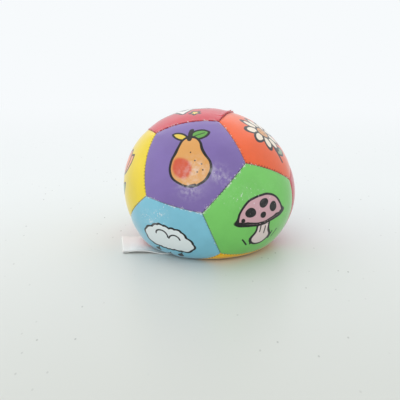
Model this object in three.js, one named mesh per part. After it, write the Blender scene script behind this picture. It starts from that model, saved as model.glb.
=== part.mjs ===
// A soft stuffed ball, sewn from twelve five-sided vinyl panels, with a folded ribbon label.
// Millimetres, +Z up. The ball is settled on a table at z = 0, with the origin under its middle,
// and -Y is the side that faces the viewer.

import * as THREE from "three";

// Ball: the settled cover is a leaning, slightly flattened globe with a flat foot
const BALL_WIDTH = 107;
const BALL_DEPTH = 103;
const BALL_HEIGHT = 98; // across the short axis, before the foot flattens it
const BALL_LEAN = 20; // degrees, long axis dipping to the right
const CENTRE_HEIGHT = 34.5; // middle of the globe above the table
const FOOT_SHOULDER = 6; // half-height of the band that rounds into the foot
const FOOT_SLIDE = 3.3; // how far the foot has slid to the left under the middle

// How the ball has rolled: where the front panel looks, in degrees
const ROLL_LEFT = 15.2;
const ROLL_UP = 35;
const ROLL_SPIN = 21;

// Panels
const VINYL_THICKNESS = 0.8;
const FOLD_RADIUS = 1.1; // outer radius of the fold at a seam
const SEAM_GAP = 0.3; // between the turned-in edges of two panels
const SEAM_ALLOWANCE = 4.5; // depth of the turned-in edge below the cover
const SEAM_DENT = 0.2; // how far the stitching draws a seam below the middle of its panels

// Stuffing and thread
const STUFFING_CLEARANCE = 0.3;
const THREAD_DIAMETER = 0.4;
const THREAD_CLEARANCE = 0.15;
const THREAD_END_CLEARANCE = 0.9; // from a corner, where three seams meet

// Ribbon label, folded over at its free end and sewn into the seam under the left side
const LABEL_WIDTH = 28;
const LABEL_THICKNESS = 0.8; // both plies
const LABEL_LENGTH = 40; // from the seam to the fold
const LABEL_FLAP_LENGTH = 14; // the part past the crease, which lifts
const LABEL_TURN = 1; // degrees that the ribbon turns away from the viewer
const LABEL_SKEW = 5; // how much longer the far edge is than the near one
const LABEL_SEAM_SHARE = 0.28; // where its middle crosses the seam, counted from the near corner
const LABEL_FOLD_RADIUS = 0.7; // outside of the fold
const LABEL_EYE_RADIUS = 0.3; // open eye inside the fold
const LABEL_CLEARANCE = 0.3;
const LABEL_ROOT_CLEARANCE = 0.9; // past the straight line between the seam's ends
const LABEL_LIFT_BEFORE = 3; // the cover rises over the ribbon from this far before the seam
const LABEL_LIFT_AFTER = 2; // to this far past it

// Facets
const EDGE_STEPS = 6; // along each seam
const FOLD_STEPS = 2;
const DOME_SHARES = [0.4, 0.8]; // rings between a panel's middle and its folds
const THREAD_SIDES = 5;

// Panel colours, each with the two angles that place it on a round ball whose front panel faces
// along +Z: degrees from the front panel, and degrees counter-clockwise from the right
const RING_TILT = THREE.MathUtils.radToDeg(Math.atan(2)); // between neighbouring panels
const PANELS = {
  front: { colour: 0x806dab, tilt: 0, turn: 0 },
  upper_right: { colour: 0xec6a4a, tilt: RING_TILT, turn: 18 },
  top: { colour: 0xd9485a, tilt: RING_TILT, turn: 90 },
  left: { colour: 0xf4dd48, tilt: RING_TILT, turn: 162 },
  lower_left: { colour: 0x7abbcd, tilt: RING_TILT, turn: 234 },
  lower_right: { colour: 0x74c161, tilt: RING_TILT, turn: 306 },
  right: { colour: 0xd9485a, tilt: 180 - RING_TILT, turn: 342 },
  back_right: { colour: 0x7abbcd, tilt: 180 - RING_TILT, turn: 54 },
  back_left: { colour: 0x74c161, tilt: 180 - RING_TILT, turn: 126 },
  under_left: { colour: 0xd9485a, tilt: 180 - RING_TILT, turn: 198 },
  base: { colour: 0xdcaa32, tilt: 180 - RING_TILT, turn: 270 },
  back: { colour: 0x806dab, tilt: 180, turn: 0 },
};

// Corners that the sewing has pulled away from an even layout: small steps along x, y and z
const CORNER_SLIP_STEP = 0.5;
const CORNER_SLIPS = {
  "front left top": [4, -2, 2],
  "front top upper_right": [6, -3, -1],
  "front lower_right upper_right": [-2, 1, 4],
  "front lower_left lower_right": [-3, 0, -1],
  "front left lower_left": [0, -1, -6],
  "base lower_left lower_right": [-1, -7, 8],
  "lower_right right upper_right": [0, 4, 8],
  "back_right top upper_right": [-3, -5, 3],
  "back_left left top": [5, -10, 10],
  "base lower_right right": [6, 16, -2],
  "base lower_left under_left": [5, -12, 6],
  "left lower_left under_left": [-4, 14, 1],
};

const radians = THREE.MathUtils.degToRad;
const roundRadius = Math.cbrt(BALL_WIDTH * BALL_DEPTH * BALL_HEIGHT) / 2;
const ballMiddle = new THREE.Vector3(0, 0, CENTRE_HEIGHT);
const crownDepth = VINYL_THICKNESS + STUFFING_CLEARANCE; // top of the stuffing below the cover
const labelSpace = LABEL_THICKNESS + LABEL_CLEARANCE;

// Layout of the twelve panels on a round ball

function panelDirection({ tilt, turn }) {
  const flat = Math.sin(radians(tilt));
  const inFront = new THREE.Vector3(
    flat * Math.cos(radians(turn)),
    flat * Math.sin(radians(turn)),
    Math.cos(radians(tilt)),
  );
  const roll = new THREE.Matrix4()
    .makeRotationZ(radians(-ROLL_LEFT))
    .multiply(new THREE.Matrix4().makeRotationX(radians(90 - ROLL_UP)))
    .multiply(new THREE.Matrix4().makeRotationZ(radians(ROLL_SPIN)));
  return inFront.applyMatrix4(roll);
}

const panelNames = Object.keys(PANELS);
const axes = Object.fromEntries(panelNames.map((name) => [name, panelDirection(PANELS[name])]));

function touch(a, b) {
  const angle = axes[a].angleTo(axes[b]);
  return a !== b && Math.abs(angle - radians(RING_TILT)) < 0.01;
}

// Corners are named by the three panels that meet there, in alphabetical order
const corners = {};
for (const a of panelNames) {
  for (const b of panelNames.filter((name) => name > a && touch(a, name))) {
    for (const c of panelNames.filter((name) => name > b && touch(a, name) && touch(b, name))) {
      const key = `${a} ${b} ${c}`;
      const steps = new THREE.Vector3(...(CORNER_SLIPS[key] ?? [0, 0, 0]));
      const even = axes[a].clone().add(axes[b]).add(axes[c]).setLength(roundRadius);
      corners[key] = even.addScaledVector(steps, CORNER_SLIP_STEP).normalize();
    }
  }
}

function cornersOf(...names) {
  const keys = Object.keys(corners).sort();
  return keys.filter((key) => names.every((name) => key.split(" ").includes(name)));
}

function seamDirection([from, to], share) {
  return corners[from].clone().lerp(corners[to], share).normalize();
}

// The settled cover

const labelSeam = cornersOf("base", "under_left");
const labelSeamNear = labelSeam.find((key) => key.includes("lower_left"));
const labelSeamFar = labelSeam.find((key) => key !== labelSeamNear);
const labelSeamSide = corners[labelSeamNear].clone().cross(corners[labelSeamFar]).normalize();
if (labelSeamSide.dot(axes.under_left) < 0) {
  labelSeamSide.negate();
}

const leaning = new THREE.Matrix4().makeRotationY(radians(BALL_LEAN));
const stretch = new THREE.Matrix4()
  .makeScale(BALL_WIDTH / 2, BALL_DEPTH / 2, BALL_HEIGHT / 2)
  .premultiply(leaning)
  .multiply(leaning.clone().invert());

// Height of the foot under a direction: zero, but raised over the ribbon past its seam
function footHeight(direction) {
  const pastSeam = direction.dot(labelSeamSide) * roundRadius;
  return labelSpace * THREE.MathUtils.smoothstep(pastSeam, -LABEL_LIFT_BEFORE, LABEL_LIFT_AFTER);
}

// Point of the cover in a direction, dented towards the middle of the ball
function coverPoint(direction, dent) {
  const point = direction.clone().multiplyScalar(1 - dent / roundRadius).applyMatrix4(stretch);
  const foot = footHeight(direction);
  const above = point.z + CENTRE_HEIGHT - foot;
  const rounded = Math.max(above + FOOT_SHOULDER, 0) ** 2 / (4 * FOOT_SHOULDER);
  point.z = foot + (above > FOOT_SHOULDER ? above : rounded);
  point.x -= FOOT_SLIDE * Math.max(1 - point.z / CENTRE_HEIGHT, 0) ** 2;
  return point;
}

// Point at a depth below the cover, measured square to it through the vinyl and then straight
// towards the middle of the ball
function pointBelow(direction, depth, dent) {
  const step = 0.002;
  const point = coverPoint(direction, dent);
  if (depth === 0) {
    return point;
  }
  const helper = Math.abs(direction.z) < 0.7 ? new THREE.Vector3(0, 0, 1) : new THREE.Vector3(1, 0, 0);
  const along = helper.clone().cross(direction).setLength(step);
  const across = direction.clone().cross(along).setLength(step);
  const alongPoint = coverPoint(direction.clone().add(along).normalize(), dent);
  const acrossPoint = coverPoint(direction.clone().add(across).normalize(), dent);
  const outward = alongPoint.sub(point).cross(acrossPoint.sub(point)).normalize();
  const square = Math.min(depth, crownDepth);
  const fromMiddle = point.clone().sub(ballMiddle).normalize();
  return point.addScaledVector(outward, -square).addScaledVector(fromMiddle, square - depth);
}

// One panel's outline, as seen square on from its middle

function panelOutline(name) {
  const keys = cornersOf(name);
  const middle = new THREE.Vector3();
  keys.forEach((key) => middle.add(corners[key]));
  middle.normalize();
  const right = new THREE.Vector3(0, 0, 1).cross(middle).normalize();
  const up = middle.clone().cross(right);
  const flatCorners = keys.map((key) => {
    const corner = corners[key];
    const share = corner.dot(middle);
    return { x: corner.dot(right) / share, y: corner.dot(up) / share, share, key };
  });
  flatCorners.sort((p, q) => Math.atan2(p.y, p.x) - Math.atan2(q.y, q.x));
  const edges = flatCorners.map((p, i) => {
    const q = flatCorners[(i + 1) % flatCorners.length];
    const length = Math.hypot(q.x - p.x, q.y - p.y);
    const nx = (q.y - p.y) / length;
    const ny = (p.x - q.x) / length;
    return { nx, ny, reach: p.x * nx + p.y * ny };
  });
  return { middle, right, up, flatCorners, edges };
}

// Directions round a panel, each edge moved in from its seam by a length on the cover and the
// whole drawn towards the middle by a share
function panelRing(outline, inset, share = 1) {
  const { middle, right, up, flatCorners, edges } = outline;
  const lines = edges.map(({ nx, ny, reach }) => ({
    nx,
    ny,
    reach: Math.tan(Math.atan(reach) - inset / roundRadius),
  }));
  const inner = lines.map((b, i) => {
    const a = lines[(i + lines.length - 1) % lines.length];
    const across = a.nx * b.ny - a.ny * b.nx;
    return {
      x: (a.reach * b.ny - b.reach * a.ny) / across,
      y: (b.reach * a.nx - a.reach * b.nx) / across,
      weight: flatCorners[i].share,
    };
  });
  const ring = [];
  inner.forEach((p, i) => {
    const q = inner[(i + 1) % inner.length];
    for (let step = 0; step < EDGE_STEPS; step += 1) {
      const pWeight = p.weight * (1 - step / EDGE_STEPS);
      const qWeight = q.weight * (step / EDGE_STEPS);
      const x = (share * (p.x * pWeight + q.x * qWeight)) / (pWeight + qWeight);
      const y = (share * (p.y * pWeight + q.y * qWeight)) / (pWeight + qWeight);
      ring.push(middle.clone().addScaledVector(right, x).addScaledVector(up, y).normalize());
    }
  });
  return ring;
}

const foldInset = SEAM_GAP / 2 + FOLD_RADIUS;

// Ring of points a depth below a panel's dome, share 1 being where its folds start
function domeRing(outline, share, depth) {
  const ring = panelRing(outline, foldInset, share);
  return ring.map((direction) => pointBelow(direction, depth, SEAM_DENT * share ** 2));
}

function edgeRing(outline, inset, depth) {
  return panelRing(outline, inset).map((direction) => pointBelow(direction, depth, SEAM_DENT));
}

// Meshes

// Skin over rings of equal count, from a pole of one point outwards
function skin(rings, triangles = []) {
  for (let level = 0; level + 1 < rings.length; level += 1) {
    const a = rings[level];
    const b = rings[level + 1];
    const count = b.length;
    for (let i = 0; i < count; i += 1) {
      const j = (i + 1) % count;
      triangles.push(a[i % a.length], b[i], b[j]);
      if (a.length > 1) {
        triangles.push(a[i], b[j], a[j]);
      }
    }
  }
  return triangles;
}

function meshFromTriangles(name, points, material) {
  const positions = [];
  const index = [];
  const known = new Map();
  for (const point of points) {
    const key = point.toArray().map((value) => Math.round(value * 1e5)).join(" ");
    if (!known.has(key)) {
      known.set(key, known.size);
      positions.push(...point.toArray());
    }
    index.push(known.get(key));
  }
  const geometry = new THREE.BufferGeometry();
  geometry.setAttribute("position", new THREE.Float32BufferAttribute(positions, 3));
  geometry.setIndex(index);
  geometry.computeVertexNormals();
  return namedMesh(name, geometry, material);
}

function namedMesh(name, geometry, { colour, roughness }) {
  const material = new THREE.MeshStandardMaterial({ color: colour, roughness, metalness: 0 });
  const mesh = new THREE.Mesh(geometry, material);
  mesh.name = name;
  return mesh;
}

// A panel is a shallow cup: a dome, rounded folds and a turned-in edge, all of one thickness
function makePanel(name) {
  const outline = panelOutline(name);
  const half = SEAM_GAP / 2;
  const rim = edgeRing(outline, half, SEAM_ALLOWANCE);
  const outside = [[pointBelow(outline.middle, 0, 0)]];
  DOME_SHARES.forEach((share) => outside.push(domeRing(outline, share, 0)));
  for (let step = 0; step <= FOLD_STEPS; step += 1) {
    const angle = (Math.PI / 2) * (step / FOLD_STEPS);
    const inset = half + FOLD_RADIUS * (1 - Math.sin(angle));
    outside.push(edgeRing(outline, inset, FOLD_RADIUS * (1 - Math.cos(angle))));
  }
  outside.push(rim);
  const inside = [[pointBelow(outline.middle, VINYL_THICKNESS, 0)]];
  DOME_SHARES.forEach((share) => inside.push(domeRing(outline, share, VINYL_THICKNESS)));
  inside.push(edgeRing(outline, foldInset, VINYL_THICKNESS));
  inside.push(edgeRing(outline, half + VINYL_THICKNESS, FOLD_RADIUS));
  inside.push(edgeRing(outline, half + VINYL_THICKNESS, SEAM_ALLOWANCE));
  inside.push(rim);
  const triangles = [...skin(outside), ...skin(inside).reverse()];
  return meshFromTriangles(`panel_${name}`, triangles, { colour: PANELS[name].colour, roughness: 0.4 });
}

// The stuffing fills every cup and is drawn in below the turned-in edges
function makeStuffing() {
  const triangles = [];
  const wall = SEAM_GAP / 2 + VINYL_THICKNESS + STUFFING_CLEARANCE;
  const groove = SEAM_ALLOWANCE + STUFFING_CLEARANCE;
  for (const name of panelNames) {
    const outline = panelOutline(name);
    const rings = [[pointBelow(outline.middle, crownDepth, 0)]];
    DOME_SHARES.forEach((share) => rings.push(domeRing(outline, share, crownDepth)));
    rings.push(edgeRing(outline, Math.max(wall, foldInset), crownDepth));
    rings.push(edgeRing(outline, wall, groove));
    rings.push(edgeRing(outline, 0, groove));
    skin(rings, triangles);
  }
  return meshFromTriangles("stuffing", triangles, { colour: 0xeeeae0, roughness: 0.95 });
}

// A thread lies in the groove between the folds of its two panels
function makeThread(a, b) {
  const radius = THREAD_DIAMETER / 2;
  const toFold = FOLD_RADIUS + radius + THREAD_CLEARANCE;
  const depth = FOLD_RADIUS - Math.sqrt(toFold ** 2 - foldInset ** 2);
  const ends = cornersOf(a, b);
  const length = corners[ends[0]].angleTo(corners[ends[1]]) * roundRadius;
  const points = [];
  for (let step = 0; step <= EDGE_STEPS; step += 1) {
    const first = THREAD_END_CLEARANCE / length;
    const share = THREE.MathUtils.lerp(first, 1 - first, step / EDGE_STEPS);
    points.push(pointBelow(seamDirection(ends, share), depth, SEAM_DENT));
  }
  const section = new THREE.Shape();
  for (let side = 0; side < THREAD_SIDES; side += 1) {
    const angle = (2 * Math.PI * side) / THREAD_SIDES;
    const method = side === 0 ? "moveTo" : "lineTo";
    section[method](radius * Math.cos(angle), radius * Math.sin(angle));
  }
  const geometry = new THREE.ExtrudeGeometry(section, {
    steps: EDGE_STEPS,
    extrudePath: new THREE.CatmullRomCurve3(points),
  });
  return namedMesh(`seam_${a}_${b}`, geometry, { colour: 0x4a4450, roughness: 0.8 });
}

// Ribbon label: the tail leaves the seam and the flap lifts about the crease between them

function makeLabel() {
  const material = { colour: 0xd8d7d2, roughness: 0.7 };
  const near = coverPoint(corners[labelSeamNear], SEAM_DENT);
  const far = coverPoint(corners[labelSeamFar], SEAM_DENT);
  const root = near.clone().lerp(far, LABEL_SEAM_SHARE);
  const creaseAt = LABEL_LENGTH - LABEL_FLAP_LENGTH;
  const half = LABEL_WIDTH / 2;

  // Ribbon frame: x runs from the seam to the free end, y from the far edge to the near one
  const frame = new THREE.Group();
  frame.position.set(root.x, root.y, 0);
  frame.rotation.z = Math.PI - radians(LABEL_TURN);
  const seamSlope = seamSlopeInFrame(far.clone().sub(near), frame.rotation.z);

  const tailPlan = new THREE.Shape();
  tailPlan.moveTo(LABEL_ROOT_CLEARANCE + seamSlope * half, half);
  tailPlan.lineTo(LABEL_ROOT_CLEARANCE - seamSlope * half, -half);
  tailPlan.lineTo(creaseAt - LABEL_CLEARANCE - LABEL_THICKNESS / 2, -half);
  tailPlan.lineTo(creaseAt - LABEL_CLEARANCE - LABEL_THICKNESS / 2, half);
  const tailGeometry = new THREE.ExtrudeGeometry(tailPlan, {
    depth: LABEL_THICKNESS,
    bevelEnabled: false,
  });
  frame.add(namedMesh("label_tail", tailGeometry, material));

  const flap = namedMesh("label_flap", flapGeometry(), material);
  flap.position.set(creaseAt, 0, LABEL_THICKNESS / 2);
  frame.add(flap);
  return frame;
}

// Rise of the seam along the ribbon's length for each millimetre across it
function seamSlopeInFrame(seam, turn) {
  const along = seam.x * Math.cos(turn) + seam.y * Math.sin(turn);
  const across = -seam.x * Math.sin(turn) + seam.y * Math.cos(turn);
  return along / across;
}

// Flap in side view, extruded across the ribbon: round at the crease, with an open fold at the end
function flapGeometry() {
  const ply = LABEL_THICKNESS / 2;
  const foldAt = LABEL_FLAP_LENGTH - LABEL_FOLD_RADIUS;
  const foldHeight = LABEL_FOLD_RADIUS - ply;
  const side = new THREE.Shape();
  const joinAngle = Math.acos((ply - foldHeight) / LABEL_FOLD_RADIUS);
  side.absarc(0, 0, ply, Math.PI / 2, (3 * Math.PI) / 2, false);
  side.absarc(foldAt, foldHeight, LABEL_FOLD_RADIUS, -Math.PI / 2, Math.PI / 2 + joinAngle, false);
  const eye = new THREE.Path();
  eye.absarc(foldAt, foldHeight, LABEL_EYE_RADIUS, 0, 2 * Math.PI, true);
  side.holes.push(eye);
  const geometry = new THREE.ExtrudeGeometry(side, {
    depth: LABEL_WIDTH,
    bevelEnabled: false,
    curveSegments: 5,
  });
  geometry.rotateX(Math.PI / 2);
  geometry.translate(0, LABEL_WIDTH / 2, 0);
  skewEnd(geometry);
  return geometry;
}

// Shear the flap so that its far edge is longer than its near edge, with the crease left square
function skewEnd(geometry) {
  const places = geometry.getAttribute("position");
  for (let i = 0; i < places.count; i += 1) {
    const alongFlap = Math.max(places.getX(i), 0) / LABEL_FLAP_LENGTH;
    const farther = -places.getY(i) / LABEL_WIDTH;
    places.setX(i, places.getX(i) + LABEL_SKEW * farther * alongFlap);
  }
  geometry.computeVertexNormals();
}

const ball = new THREE.Group();
panelNames.forEach((name) => ball.add(makePanel(name)));
ball.add(makeStuffing());
panelNames.forEach((a) => {
  panelNames.filter((b) => b > a && touch(a, b)).forEach((b) => ball.add(makeThread(a, b)));
});
ball.add(makeLabel());

export default ball;
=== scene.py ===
"""Dress a soft, stuffed ball of twelve printed vinyl panels, its seams, stuffing and ribbon label.

Everything is in metres in the frame's own axes: +Z up, -Y towards the viewer, and the origin on the
table under the middle of the ball. Only the prints are drawn in millimetres on their flat panels.
"""

from itertools import combinations
from types import SimpleNamespace

import bpy
import numpy as np
from bpy.props import FloatProperty, FloatVectorProperty, IntProperty, PointerProperty
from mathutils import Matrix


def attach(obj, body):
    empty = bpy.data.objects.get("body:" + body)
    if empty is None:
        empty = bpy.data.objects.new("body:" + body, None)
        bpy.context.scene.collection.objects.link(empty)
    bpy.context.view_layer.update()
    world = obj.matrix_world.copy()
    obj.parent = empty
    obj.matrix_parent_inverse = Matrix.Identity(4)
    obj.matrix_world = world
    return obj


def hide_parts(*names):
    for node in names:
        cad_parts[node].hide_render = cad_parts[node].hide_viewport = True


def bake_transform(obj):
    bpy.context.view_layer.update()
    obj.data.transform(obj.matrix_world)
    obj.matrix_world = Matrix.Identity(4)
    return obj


bl_info = {
    "name": "Soft panel ball",
    "version": (1, 0, 0),
    "blender": (4, 5, 0),
    "location": "View3D > Sidebar > Ball",
    "description": "Dresses a stuffed ball of printed vinyl panels with a ribbon label",
    "category": "Object",
}

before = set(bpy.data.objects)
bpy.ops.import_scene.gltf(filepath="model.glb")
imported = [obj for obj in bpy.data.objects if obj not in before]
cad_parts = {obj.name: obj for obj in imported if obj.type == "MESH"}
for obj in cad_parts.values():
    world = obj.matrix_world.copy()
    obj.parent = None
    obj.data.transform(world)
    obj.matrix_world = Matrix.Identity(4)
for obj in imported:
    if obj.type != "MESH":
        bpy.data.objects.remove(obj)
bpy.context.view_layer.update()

MM = 0.001
RING_TILT = np.arctan(2.0)  # angle between neighbouring panels of the round ball
EDGES = 5  # of a panel

# Each panel's place on a round ball whose front panel faces along +Z: angle from the front panel
# in ring tilts, or from the back one where negative, and degrees counter-clockwise from the right.
# Then its vinyl, its print, and the print's turn in degrees.
PANELS = {
    "front": (0, 0, "purple", "pear", 12),
    "upper_right": (1, 18, "orange", "daisy", -20),
    "top": (1, 90, "red", "star", 10),
    "left": (1, 162, "yellow", "tulip", -8),
    "lower_left": (1, 234, "blue", "cloud", -6),
    "lower_right": (1, 306, "green", "toadstool", 8),
    "right": (-1, 342, "red", "balloon", 0),
    "back_right": (-1, 54, "blue", "boat", 5),
    "back_left": (-1, 126, "green", "apple", -6),
    "under_left": (-1, 198, "red", "heart", 0),
    "base": (-1, 270, "gold", "sun", 0),
    "back": (-2, 0, "purple", "moon", 8),
}

# Corners that the sewing has pulled off an even layout, in millimetres along x, y and z
CORNER_SLIPS = {
    ("front", "left", "top"): (2, -1, 1),
    ("front", "top", "upper_right"): (3, -1.5, -0.5),
    ("front", "lower_right", "upper_right"): (-1, 0.5, 2),
    ("front", "lower_left", "lower_right"): (-1.5, 0, -0.5),
    ("front", "left", "lower_left"): (0, -0.5, -3),
    ("base", "lower_left", "lower_right"): (-0.5, -3.5, 4),
    ("lower_right", "right", "upper_right"): (0, 2, 4),
    ("back_right", "top", "upper_right"): (-1.5, -2.5, 1.5),
    ("back_left", "left", "top"): (2.5, -5, 5),
    ("base", "lower_right", "right"): (3, 8, -1),
    ("base", "lower_left", "under_left"): (2.5, -6, 3),
    ("left", "lower_left", "under_left"): (-2, 7, 0.5),
}

# How far the print has rubbed off the folds of a seam, and how dark its stitched band is (partly
# grime, partly painted shade of the crease and stitch holes), from 0 to 1
SEAM_LOOKS = {
    ("front", "lower_left"): (1.0, 0.3),
    ("front", "lower_right"): (0.8, 1.0),
    ("front", "upper_right"): (0.6, 0.4),
    ("front", "top"): (0.55, 1.0),
    ("front", "left"): (0.1, 0.7),
    ("lower_right", "upper_right"): (0.5, 1.0),
    ("lower_left", "lower_right"): (0.3, 0.35),
    ("left", "lower_left"): (0.5, 0.4),
    ("top", "upper_right"): (0.1, 0.4),
    ("back", "back_left"): (0.8, 0.4),
    ("back_right", "right"): (0.7, 0.6),
}
PLAIN_SEAM_LOOK = (0.3, 0.7)

# How far the folds of a panel stand proud of its neighbours', in millimetres
LIPS = {"top": 0.65}

# How much more a panel's fold stands proud beside one neighbour, in millimetres, and the length over
# which it rises from the seam's ends
RIDGES = {("top", "upper_right"): 1.3}
RIDGE_RISE = 5 * MM

# Darker band of a vinyl's own colour along its stitched seams, partly grime and partly painted
# shade of the crease and stitch holes: share of its own colour that the band keeps, width of the
# band in millimetres, and how dark the band is between stitches, from 0 to 1
SHADED_STITCH_BANDS = {"red": (0.8, 1.4, 0.85), "orange": (0.3, 1.6, 0.1)}
PLAIN_SHADED_BAND = (0.16, 0.9, 0.05)

# Scuffed spots: panel, place on it in millimetres to the right and up, reach, then how hazy and
# how flecked it is, from 0 to 1
SCUFFS = (
    ("front", 5, -6, 6, 1.0, 0.3),
    ("front", 2, -16, 6, 1.0, 0.3),
    ("front", -1, -11, 5, 0.6, 0.2),
    ("front", 16, -7, 5, 0.8, 0.4),
    ("front", 21, -9, 4, 0.7, 0.6),
    ("lower_right", -14, 15, 10, 0.15, 0.6),
    ("lower_right", -2, 12, 12, 0.1, 0.5),
    ("lower_right", 20, -4, 7, 0.1, 0.4),
    ("lower_left", -9, 13, 7, 0.4, 1.2),
    ("lower_left", -1, 18, 5, 0.3, 1.2),
    ("upper_right", 8, 6, 6, 0.3, 0.3),
    ("top", -6, -6, 7, 0.4, 0.4),
    ("under_left", 16, -6, 16, 1.8, 0.8),
    ("back", 5, 8, 8, 0.7, 0.5),
    ("back_left", -8, -4, 7, 0.5, 0.6),
    ("back_right", 9, -6, 7, 0.3, 0.8),
)


def linear(red, green, blue):
    """Linear values of a colour given on the usual display scale of 0 to 255."""
    shown = np.array((red, green, blue)) / 255
    return tuple(np.where(shown < 0.04045, shown / 12.92, ((shown + 0.055) / 1.055) ** 2.4))


def length(name, millimetres, description):
    """A length property whose default is given in millimetres."""
    return FloatProperty(
        name=name, description=description, default=millimetres * MM, unit="LENGTH", precision=5
    )


def angle(name, degrees, description):
    """An angle property whose default is given in degrees."""
    return FloatProperty(
        name=name, description=description, default=np.radians(degrees), subtype="ANGLE"
    )


def colour(name, red, green, blue, description):
    """A colour property whose default is given on the display scale of 0 to 255."""
    return FloatVectorProperty(
        name=name,
        description=description,
        default=linear(red, green, blue),
        subtype="COLOR",
        min=0.0,
        max=1.0,
    )


class BallShape(bpy.types.PropertyGroup):
    """Size, lean and roll of the settled ball."""

    width: length("Width", 107, "Length of the globe's long axis")
    depth: length("Depth", 103, "Depth of the globe from front to back")
    height: length("Height", 98, "Length of the globe's short axis")
    lean: angle("Lean", 20, "Dip of the long axis to the right")
    centre_height: length("Centre height", 34.5, "Middle of the globe above the table")
    shoulder: length("Foot shoulder", 6, "Half-height of the band that rounds into the foot")
    slide: length("Foot slide", 3.3, "How far the foot has slid to the left under the middle")
    roll_left: angle("Roll left", 15.2, "How far the front panel looks to the left")
    roll_up: angle("Roll up", 35, "How far the front panel looks up")
    roll_spin: angle("Roll spin", 21, "Turn of the front panel about its own middle")


class CoverMake(bpy.types.PropertyGroup):
    """Vinyl, folds, stitches and fill of the cover."""

    thickness: length("Vinyl thickness", 0.4, "Thickness of the printed vinyl")
    fold: length("Fold radius", 0.5, "Outer radius of the fold at a seam")
    gap: length("Seam gap", 0.08, "Gap between two turned-in edges")
    allowance: length("Seam allowance", 4.5, "Depth of a turned-in edge")
    dent: length("Seam dent", 0.45, "How far stitching draws a seam in")
    spread: length("Dent spread", 3.5, "Distance from a seam at which the dent has mostly gone")
    puff: length("Panel puff", 0.12, "Most that the fill swells a panel")
    pucker: length("Stitch pucker", 0.12, "Depth of the dimple at each stitch")
    stitch: length("Stitch length", 2.0, "Distance from stitch to stitch")
    thread: length("Thread", 0.2, "Thickness of the sewing thread")
    edge_steps: IntProperty(
        name="Edge steps", description="Points along each seam", default=76, min=8
    )
    dome_steps: IntProperty(
        name="Dome steps", description="Rings from a panel's middle to its fold", default=54, min=6
    )


class LabelMake(bpy.types.PropertyGroup):
    """Ribbon label, folded at its free end and sewn into the seam under the left side."""

    width: length("Width", 28, "Width of the ribbon")
    space: length("Space", 1.1, "Height that the cover leaves over the ribbon")
    reach: length("Reach", 40, "Length from the seam to the fold")
    flap: length("Flap", 14, "Length past the crease")
    turn: angle("Turn", 1, "Turn of the ribbon away from the viewer")
    skew: length("Skew", 5, "How much longer the far edge is than the near one")
    seam_share: FloatProperty(
        name="Seam share",
        description="Where its middle crosses the seam, from the near corner",
        default=0.28,
        min=0.0,
        max=1.0,
    )
    ply: length("Ply", 0.3, "Thickness of one ply of ribbon")
    arch: length("Arch", 1.5, "How far the near edge arches off the table")


class BallColours(bpy.types.PropertyGroup):
    """Vinyl, ink, ribbon and thread colours."""

    purple: colour("Purple", 125, 104, 167, "Purple vinyl")
    red: colour("Red", 200, 60, 75, "Red vinyl")
    orange: colour("Orange", 234, 99, 51, "Orange vinyl")
    green: colour("Green", 117, 197, 97, "Green vinyl")
    blue: colour("Blue", 124, 189, 210, "Blue vinyl")
    yellow: colour("Yellow", 234, 207, 52, "Yellow vinyl")
    gold: colour("Gold", 250, 190, 20, "Golden yellow vinyl")
    ink: colour("Ink", 12, 10, 13, "Printed outlines")
    worn: colour("Worn", 232, 230, 232, "Pale backing where the print has rubbed off")
    thread: colour("Thread", 122, 106, 118, "Sewing thread")
    ribbon: colour("Ribbon", 248, 247, 244, "Ribbon label")
    fibre: colour("Fibre", 238, 234, 224, "Stuffing")


class BallSettings(bpy.types.PropertyGroup):
    """All settings of the ball."""

    shape: PointerProperty(type=BallShape)
    cover: PointerProperty(type=CoverMake)
    label: PointerProperty(type=LabelMake)
    colours: PointerProperty(type=BallColours)


# Layout


def unit(vectors):
    """Vectors divided by their lengths."""
    return vectors / np.linalg.norm(vectors, axis=-1, keepdims=True)


def beside(directions, steep):
    """Unit directions square to others: level ones, or square to x where z is past steep."""
    helper = np.where(np.abs(directions[..., 2:]) < steep, (0.0, 0.0, 1.0), (1.0, 0.0, 0.0))
    return unit(np.cross(helper, directions))


def turned(axis, turn):
    """Matrix of a right-handed turn about one of the axes 0, 1, 2."""
    i, j = (axis + 1) % 3, (axis + 2) % 3
    matrix = np.eye(3)
    matrix[[i, i, j, j], [i, j, i, j]] = np.cos(turn), -np.sin(turn), np.sin(turn), np.cos(turn)
    return matrix


def smoothstep(low, high, value):
    """0 below low, 1 above high and a smooth 3t^2 - 2t^3 between."""
    share = np.clip((value - low) / (high - low), 0, 1)
    return share * share * (3 - 2 * share)


def fading(away, reach):
    """1 at a seam, dying away as e to the minus distance over reach."""
    return np.exp(-np.maximum(away, 0) / reach)


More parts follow.
